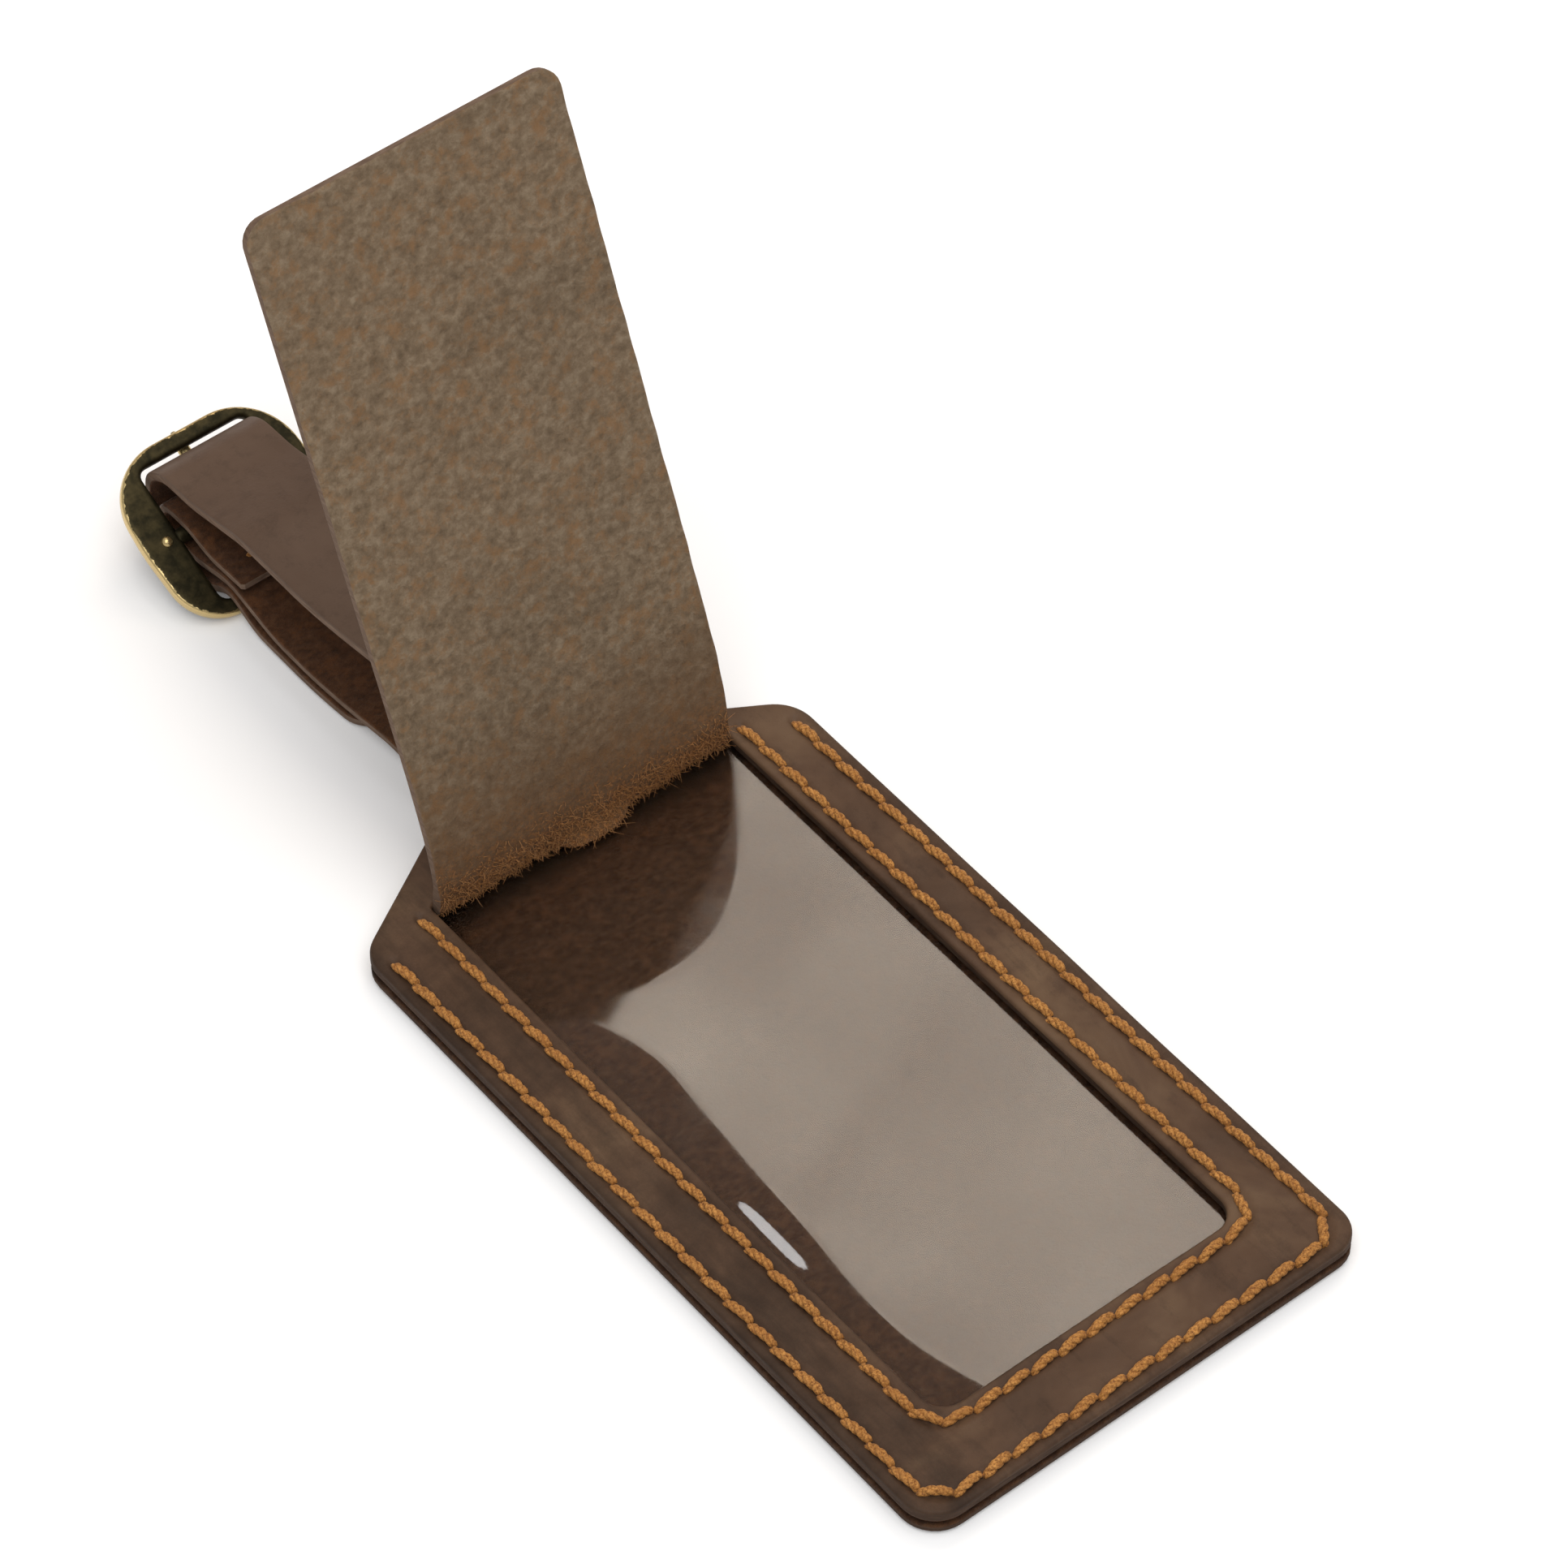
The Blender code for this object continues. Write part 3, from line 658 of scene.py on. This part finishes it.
def make_vinyl():
    """Sheet that sags beyond two lines, where it no longer reflects the pale ceiling panel."""
    half, y0, y1 = 28.4, -48.6, 58.2
    outline = fillet([(-half, y0, 3), (half, y0, 3), (half, 55.6, 2), (half - 4, y1, 2),
                      (-half + 4, y1, 2), (-half, 55.6, 2)])
    flat = Flat(outline, (), 0.7, (0.3,))
    ly, lx = np.array(LEFT_X).T
    hx, hy = np.array(HINGE_LINE).T

    def place(p, edge, t):
        x, y = p[:, 0], p[:, 1]
        smooth = [np.interp(y + k, ly, lx) for k in (-3, -1.5, 0, 1.5, 3)]
        left = np.mean(smooth, axis=0)
        far = np.mean([np.interp(x + k, hx, hy) for k in (-2, -1, 0, 1, 2)], axis=0)
        fade = np.clip((40 - y) / 10, 0, 1)
        z = VINYL_Z - LEFT_SLOPE * fade * eased(left - x, 1.6)
        z = z - HINGE_SLOPE * np.minimum(eased(y - far, 1.5), 9)
        glint = np.exp(-((y - GLINT_Y) / GLINT_HALF) ** 4)
        u = np.clip((GLINT_X - x) / GLINT_W, 0, 1)
        z = z - GLINT_DROP * glint * smooth_step(u)
        z = z + waves(x, y, (0.006, 23, 61, 0.4), (0.005, -41, 19, 2.0))
        z = np.clip(z, 1.5, 2.0)
        return np.stack([x, y, z + (t - 0.5) * VINYL_T], 1)

    obj = slab("vinyl_window", flat, place, (M_VINYL, M_VINYL, M_VINYL), 1)
    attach(obj, "tag_body")
    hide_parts("window_sheet")


# ---- flap ---------------------------------------------------------------------------------
FAN = 3.0           # length of edge that turns round the fold
ROLL_X, ROLL_HALF, ROLL_OUT = 1.5, 5.0, 2.3
LEAN, LEAN_AT_FOLD, LEAN_RUN = 20.9, 31, 6.2    # degrees past upright, less near the fold (mm)


def flap_course():
    """Grain-side curve (y, z) and lean of the open flap, from the fold to its tip."""
    s = np.linspace(0, FLAP_LENGTH, 400)
    lean = np.radians(LEAN - LEAN_AT_FOLD * np.exp(-s / LEAN_RUN))
    ds = s[1] - s[0]
    y = HINGE_Y + np.concatenate([[0], np.cumsum(np.sin((lean[1:] + lean[:-1]) / 2)) * ds])
    z = TOP_Z + np.concatenate([[0], np.cumsum(np.cos((lean[1:] + lean[:-1]) / 2)) * ds])
    return s, y, z, lean


def flap_place(p, edge, t):
    """Flat flap (x, s) with s below 0 round the fold; t 1 is the grain side, 0 the flesh side.

    The flesh side has a small roll of loose fibre near the middle of the fold.
    """
    s, cy, cz, cl = flap_course()
    x, q = p[:, 0], p[:, 1]
    y, z, lean = (np.interp(q, s, c) for c in (cy, cz, cl))
    lean = np.where(q < 0, cl[0] + q / FAN * (math.pi / 2 + cl[0]), lean)
    soft = rounding(np.where(q < 3, 9, edge), 0.3)
    thick = {1.0: soft, 0.0: LEATHER_T - soft}.get(t, LEATHER_T * (1 - t) * 0.8 + LEATHER_T * 0.1)
    if t == 0.0:
        thick = thick - 0.1 + waves(x, q, (0.05, 9, 21, 0.2), (0.05, -13, 8, 1.4), (0.04, 4.1, 5.3, 0))
    out = np.stack([x, y - np.cos(lean) * thick, z + np.sin(lean) * thick], 1)
    roll = ROLL_OUT * np.exp(-((x - ROLL_X) / ROLL_HALF) ** 4) * np.exp(-((q + 0.9) / 1.3) ** 2)
    if t < 1.0:
        out[:, 1] -= roll * (1 - t)
    return out


def make_flap():
    left, right = WIN_X - FLAP_HALF, WIN_X + FLAP_HALF
    outline = fillet([(left, -FAN, 0), (right, -FAN, 0), (right, FLAP_LENGTH, FLAP_R),
                      (left, FLAP_LENGTH, FLAP_R)])
    flat = Flat(outline, (), 0.8)
    runs = []

    def place(p, edge, t):
        runs.append(p[:, 1])
        return flap_place(p, edge, t)

    obj = slab("flap_leather", flat, place, (M_FRONT, M_FLESH_FLAP, M_EDGE))
    set_values(obj, "run", np.concatenate(runs))
    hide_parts("privacy_flap")
    bend_flap(obj)


def bend_flap(obj):
    """Bakes the object's placement into its mesh."""
    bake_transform(obj)


FIBRES, FIBRE_R = 2400, 0.06
FIBRE_FLOOR = 2.4       # none reaches down to the clear sheet


def make_fibres():
    """Frayed flesh fibres along the outside of the fold."""
    parts = []
    for _ in range(FIBRES):
        x = rng.uniform(WIN_X - FLAP_HALF + 0.2, WIN_X + FLAP_HALF - 0.2)
        q = min(max(rng.normal(0.9, 1.8), -1.9), 6)
        root = flap_place(np.array([[x, q]]), np.array([9.0]), 0.0)[0]
        length = rng.uniform(0.3, 1.05)
        aim = np.array([rng.normal(0, 1.2), -0.7 + rng.normal(0, 0.3), rng.normal(0.15, 0.9)])
        aim /= np.linalg.norm(aim)
        curl = rng.normal(0, 0.8, 3)
        t = np.linspace(0, 1, 6)[:, None]
        path = root + (t * aim + t * t * curl * 0.7) * length
        path[:, 2] = np.maximum(path[:, 2], FIBRE_FLOOR)
        parts.append(tube(path, FIBRE_R * (1 - 0.6 * t[:, 0]), 4))
    verts, faces = join(parts)
    obj = build("fold_fibres", verts, faces, (M_FIBRE,), sharp=None)
    bend_flap(obj)


# ---- strap --------------------------------------------------------------------------------
STRAP_DRIFT = (98.0, 66.0, 2.2)     # between these places along Y it moves this far across
HOLE_R = 1.8
PRONG_HOLE, SPARE_HOLES = (130.0, 8.1), ((102.0, 0.95), (93.0, 0.9))


def strap_course():
    """The strap's middle line (y, z): distance run, points and directions."""
    line = fillet(STRAP_COURSE, False, 4.0)
    path = spaced(line, 0.5, False)[0]
    for _ in range(3):
        path[1:-1] = 0.5 * path[1:-1] + 0.25 * (path[2:] + path[:-2])
    along = np.gradient(path, axis=0)
    along /= np.linalg.norm(along, axis=1)[:, None]
    run = np.concatenate([[0], np.cumsum(np.linalg.norm(np.diff(path, axis=0), axis=1))])
    return run, path, along


def course_mark(y, z, course):
    """Distance along the strap of the point nearest to a place (y, z)."""
    run, path, _ = course
    return run[np.argmin(np.hypot(path[:, 0] - y, path[:, 1] - z))]


def make_strap():
    """One strip from the fold's cut end to the tail, with the fold's slot and the holes."""
    course = strap_course()
    run, path, along = course
    length = run[-1]
    half = STRAP_W / 2
    tip = [(half, length - 5, 4), (half - 3.6, length, 2.5), (-half + 3.6, length, 2.5),
           (-half, length - 5, 4)]
    outline = fillet([(-half, 0, 0.4), (half, 0, 0.4), *tip])
    off = BUCKLE_X - STRAP_X
    up, low = course_mark(118.9, 8.0, course), course_mark(118.9, 3.85, course)
    half_slot, slot_r = 2.1, 1.9
    slot = fillet([(off - half_slot, up, slot_r), (off + half_slot, up, slot_r),
                   (off + half_slot, low, slot_r), (off - half_slot, low, slot_r)])
    holes = [slot]
    for y, z in (PRONG_HOLE, *SPARE_HOLES):
        mark = course_mark(y, z, course)
        turn = np.linspace(0, 2 * math.pi, 40, endpoint=False)
        holes.append(np.stack([off + HOLE_R * np.cos(turn), mark + HOLE_R * np.sin(turn)], 1))
    flat = Flat(outline, holes, 0.6, (0.1, 0.25))

    def place(p, edge, t):
        x, s = p[:, 0], p[:, 1]
        y, z = np.interp(s, run, path[:, 0]), np.interp(s, run, path[:, 1])
        ay, az = np.interp(s, run, along[:, 0]), np.interp(s, run, along[:, 1])
        size = np.hypot(ay, az)
        soft = rounding(edge, 0.25)
        h = {1.0: STRAP_T / 2 - soft, 0.0: -STRAP_T / 2 + soft}.get(t, (t - 0.5) * STRAP_T * 0.8)
        u = np.clip((STRAP_DRIFT[0] - y) / (STRAP_DRIFT[0] - STRAP_DRIFT[1]), 0, 1)
        x = x + STRAP_DRIFT[2] * smooth_step(u)
        return np.stack([STRAP_X + x, y - az / size * h, z + ay / size * h], 1)

    obj = slab("strap_leather", flat, place, (M_STRAP, M_FLESH, M_EDGE))
    # the fold's upper layer shows its flesh side
    folded = flat.at[flat.tris][:, :, 1].mean(1) < course_mark(127.0, 8.35, course)
    for i in np.flatnonzero(folded):
        obj.data.polygons[int(i)].material_index = 1
    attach(obj, "strap_loop")
    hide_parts("strap")


def make_tack():
    """Two bars of twisted thread through the fold's cut end."""
    parts = []
    for k in (-1, 1):
        x = STRAP_X + k * 2.4
        parts += one_stitch((x - 2.2, 113.2), (x + 2.2, 113.2), 8.15, 0.25, 0.15, 1, 0.9, 0.72)
    verts, faces = join(parts)
    obj = build("fold_thread", verts, faces, (M_THREAD,), sharp=None)
    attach(obj, "strap_loop")
    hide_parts("fold_stitch")


# ---- buckle ------------------------------------------------------------------------------
# directions up the frame's plane and out of its front, which faces down
TILT = math.radians(BUCKLE_TILT)
UP = np.array([0, math.cos(TILT), math.sin(TILT)])
FRONT = np.array([0, math.sin(TILT), -math.cos(TILT)])
FOOT = np.array([BUCKLE_X, *BUCKLE_FOOT])
BAR = FOOT + UP * BAR_S
LEFT_RAIL_EXTRA = 0.9       # the left rail reaches this much closer to the strap
EDGE_ROUND = 0.62


def make_frame():
    """Flat cast frame with broad sides, dark on its back face and rubbed along its outer edge."""
    w, top = BUCKLE_W / 2, BUCKLE_H - RAIL_W
    outline = fillet([(-w + FOOT_INSET, 0, FOOT_R), (w - FOOT_INSET, 0, FOOT_R), (w, BAR_S, BARREL_R),
                      (w - TOP_INSET, BUCKLE_H, TOP_R), (-w + TOP_INSET, BUCKLE_H, TOP_R),
                      (-w, BAR_S, BARREL_R)], True, 3.0)
    left, right, radius = LEFT_RAIL_EXTRA - OPENING_HALF, OPENING_HALF, 1.4
    opening = fillet([(left, RAIL_W, radius), (right, RAIL_W, radius), (right, top, radius),
                      (left, top, radius)])
    flat = Flat(outline, (opening,), 0.4, (0.08, 0.18, 0.32, 0.5, 0.75))
    wear = []

    def place(p, edge, t):
        soft = rounding(edge, EDGE_ROUND)
        v = {1.0: RAIL_T / 2 - soft, 0.0: -RAIL_T / 2 + soft}.get(
            t, (t - 0.5) * (RAIL_T - 2 * EDGE_ROUND))
        outer = reach(p, outline)
        wear.append(0.12 + 0.75 * np.exp(-(outer / 0.42) ** 2) + (0.2 if t == 0.0 else 0.0))
        v = np.broadcast_to(v, len(p))
        return FOOT + np.outer(p[:, 0], (1, 0, 0)) + np.outer(p[:, 1], UP) - np.outer(v, FRONT)

    obj = slab("buckle_frame_cast", flat, place, (M_BRASS, M_BRASS, M_BRASS), 3)
    set_values(obj, "wear", np.concatenate(wear))
    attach(obj, "buckle")
    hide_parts("buckle_frame")


def make_bar():
    """Centre bar, and the small domed heads of its pins on the frame's back face."""
    end, pin = OPENING_HALF - 0.4, 0.45
    stations = [(-end - 1.6, pin), (-end - 0.05, pin), (-end, 0.8), (-end + 0.15, 1.02),
                (-end + 0.4, BAR_R)]
    stations += [(x, BAR_R) for x in np.linspace(-end + 1, end - 1, 12)]
    stations += [(-x, r) for x, r in stations[:5][::-1]]
    path = np.array([BAR + np.array([x, 0, 0]) for x, _ in stations])
    parts = [tube(path, [r for _, r in stations], 24)]
    turn = np.linspace(0.02, math.pi / 2, 9)
    for side in (-1, 1):
        seat = BAR + np.array([side * (OPENING_HALF + 1.1), 0, 0]) - FRONT * (RAIL_T / 2 - 0.1)
        dome = np.array([seat - FRONT * 0.75 * math.cos(a) for a in turn])
        parts.append(tube(dome, 0.8 * np.sin(turn), 20))
    verts, faces = join(parts)
    obj = build("buckle_bar_pin", verts, faces, (M_BRASS,))
    set_values(obj, "wear", [0.2 + 0.5 * (abs(v[0] - BUCKLE_X) > end) for v in verts])
    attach(obj, "buckle")
    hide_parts("buckle_bar")


def make_prong():
    """Prong: a band rolled round the bar, drawn out to a rounded tip on the far rail."""
    start = BAR + FRONT * (BAR_R + 0.55)
    end = FOOT + UP * (BUCKLE_H + 0.6) + FRONT * (RAIL_T / 2 + 0.95)
    parts = []
    t = np.linspace(0, 1, 26)[:, None]
    path = start + (end - start) * t
    wide = np.interp(t[:, 0], (0, 0.1, 0.8, 0.95, 1), (0.95, 0.9, 0.9, 0.7, 0.3))
    thick = np.interp(t[:, 0], (0, 0.1, 0.8, 0.95, 1), (0.62, 0.65, 0.6, 0.5, 0.25))
    verts, sides = [], 14
    along = (end - start) / np.linalg.norm(end - start)
    face = np.cross(np.array([1.0, 0, 0]), along)
    for p, w, h in zip(path, wide, thick):
        for k in range(sides):
            a = 2 * math.pi * k / sides
            verts.append(p + np.array([w * math.cos(a), 0, 0]) + face * h * math.sin(a))
    parts.append((np.array(verts), sleeve(len(path), sides) + caps(len(path), sides)))
    verts, count, m = [], 40, 12
    for i in range(count):
        a = 2 * math.pi * i / count
        out = UP * math.cos(a) + FRONT * math.sin(a)
        for k in range(m):
            b = 2 * math.pi * k / m
            u = abs(math.cos(b)) ** 0.6 * math.copysign(1.42, math.cos(b))
            v = abs(math.sin(b)) ** 0.6 * math.copysign(0.38, math.sin(b))
            verts.append(BAR + out * (BAR_R + 0.3 + 0.4 + v) + np.array([u, 0, 0]))
    parts.append((np.array(verts), sleeve(count, m, closed=True)))
    verts, faces = join(parts)
    obj = build("buckle_prong_band", verts, faces, (M_BRASS,))
    set_values(obj, "wear", 0.35 + 0.3 * (verts[:, 1] > BAR[1] + 6))
    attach(obj, "prong")
    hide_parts("buckle_prong")


# ---- stage --------------------------------------------------------------------------------
def area_light(name, place, size, radiance, colour=(1, 1, 1), target=(0, 0.03, 0)):
    """Rectangular panel of a given radiance, turned to the target or else straight down (metres)."""
    light = bpy.data.lights.new(name, "AREA")
    light.shape = "RECTANGLE"
    light.size, light.size_y = size
    light.energy = radiance * size[0] * size[1] * math.pi
    light.color = colour
    obj = bpy.data.objects.new(name, light)
    obj.location = place
    if target is not None:
        aim = Vector(target) - Vector(place)
        obj.rotation_euler = aim.to_track_quat("-Z", "Y").to_euler()
    bpy.context.scene.collection.objects.link(obj)
    return obj


def cloudy(light, low, high):
    """Makes a light panel's brightness uneven, like a window with thin clouds."""
    light.use_nodes = True
    tree = light.node_tree
    add = tree.nodes.new
    glow = next(n for n in tree.nodes if n.type == "EMISSION")
    tex, level = add("ShaderNodeTexNoise"), add("ShaderNodeMapRange")
    tex.inputs["Scale"].default_value = 7.0
    tex.inputs["Detail"].default_value = 2.0
    for key, value in (("From Min", 0.35), ("From Max", 0.65), ("To Min", low), ("To Max", high)):
        level.inputs[key].default_value = value
    tree.links.new(add("ShaderNodeNewGeometry").outputs["Parametric"], tex.inputs["Vector"])
    tree.links.new(tex.outputs["Fac"], level.inputs["Value"])
    tree.links.new(level.outputs["Result"], glow.inputs["Strength"])


DARK_SIDE = (0.41, 0.51, 0.757)     # unit direction from the tag


def make_floor():
    n = Nodes("table_top")
    n.finish(Base_Color=(0.93, 0.93, 0.93), Roughness=0.7, Specular_IOR_Level=0.2,
             Emission_Color=(1.0, 1.0, 1.0), Emission_Strength=0.09)
    mesh = bpy.data.meshes.new("table_top")
    half, z = 12.0, -0.0003
    mesh.from_pydata([(-half, -half, z), (half, -half, z), (half, half, z), (-half, half, z)], [],
                     [(0, 1, 2, 3)])
    mesh.materials.append(n.mat)
    floor = bpy.data.objects.new("table_top", mesh)
    bpy.context.scene.collection.objects.link(floor)


def make_world():
    """White room, dim and brown in one direction, where the clear sheet's edges reflect it."""
    world = bpy.data.worlds.new("soft_room")
    world.use_nodes = True
    shade = world.node_tree.nodes["Background"]
    add, link = world.node_tree.nodes.new, world.node_tree.links.new
    facing, spot, tint = add("ShaderNodeVectorMath"), add("ShaderNodeMapRange"), add("ShaderNodeMix")
    facing.operation, tint.data_type = "DOT_PRODUCT", "RGBA"
    link(add("ShaderNodeTexCoord").outputs["Generated"], facing.inputs[0])
    facing.inputs[1].default_value = DARK_SIDE
    spot.inputs["From Min"].default_value, spot.inputs["From Max"].default_value = 0.82, 0.97
    link(facing.outputs["Value"], spot.inputs["Value"])
    link(spot.outputs["Result"], tint.inputs[0])
    tint.inputs[6].default_value = (1.0, 1.0, 1.0, 1.0)
    tint.inputs[7].default_value = (0.98, 0.7, 0.55, 1.0)
    link(tint.outputs[2], shade.inputs["Color"])
    shade.inputs["Strength"].default_value = 0.5
    bpy.context.scene.world = world


def make_lights():
    # a ceiling panel behind on the right, whose reflection veils the clear window
    veil = area_light("panel_veil", (0.87, 0.595, 1.2), (0.87, 0.59), 3.5, (1.0, 0.91, 0.79), None)
    cloudy(veil.data, 0.8, 1.2)
    # a narrow window further left, caught only by the steep edge of the clear sheet
    area_light("panel_glint", (0.16, 0.66, 1.2), (0.1, 0.3), 7.0, (0.95, 0.97, 1.0), None)
    # the key: a big soft panel above, on the camera's side
    area_light("panel_key", (-0.3, -0.45, 1.65), (1.8, 1.8), 2.2)


def make_camera():
    cam = bpy.data.cameras.new("camera")
    cam.lens, cam.sensor_width = 151.4, 36.0
    cam.clip_start, cam.clip_end = 0.01, 50.0
    eye, target = Vector((-0.3119, -0.3738, 0.6245)), Vector((0.0236, 0.0432, 0.0038))
    obj = bpy.data.objects.new("camera", cam)
    obj.location = eye
    obj.rotation_euler = (target - eye).to_track_quat("-Z", "Y").to_euler()
    bpy.context.scene.collection.objects.link(obj)
    bpy.context.scene.camera = obj


bpy.context.scene.view_settings.view_transform = "Standard"
make_floor()
make_world()
make_lights()
make_camera()
make_front()
make_back()
make_stitches("outer_thread_front", "outer_stitch_front", OUTER_ROW, THREAD_Z, 0.14, SLANT, 1)
make_stitches("inner_thread_front", "inner_stitch_front", INNER_ROW, THREAD_Z, 0.14, SLANT, 1)
make_stitches("outer_thread_back", "outer_stitch_back", OUTER_ROW, 0.36, 0.03, 0.2, -1, 0.5, 0.85)
make_vinyl()
make_flap()
make_fibres()
make_strap()
make_tack()
make_frame()
make_bar()
make_prong()
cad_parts["inner_stitch_back"].data.materials.clear()
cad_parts["inner_stitch_back"].data.materials.append(M_THREAD)
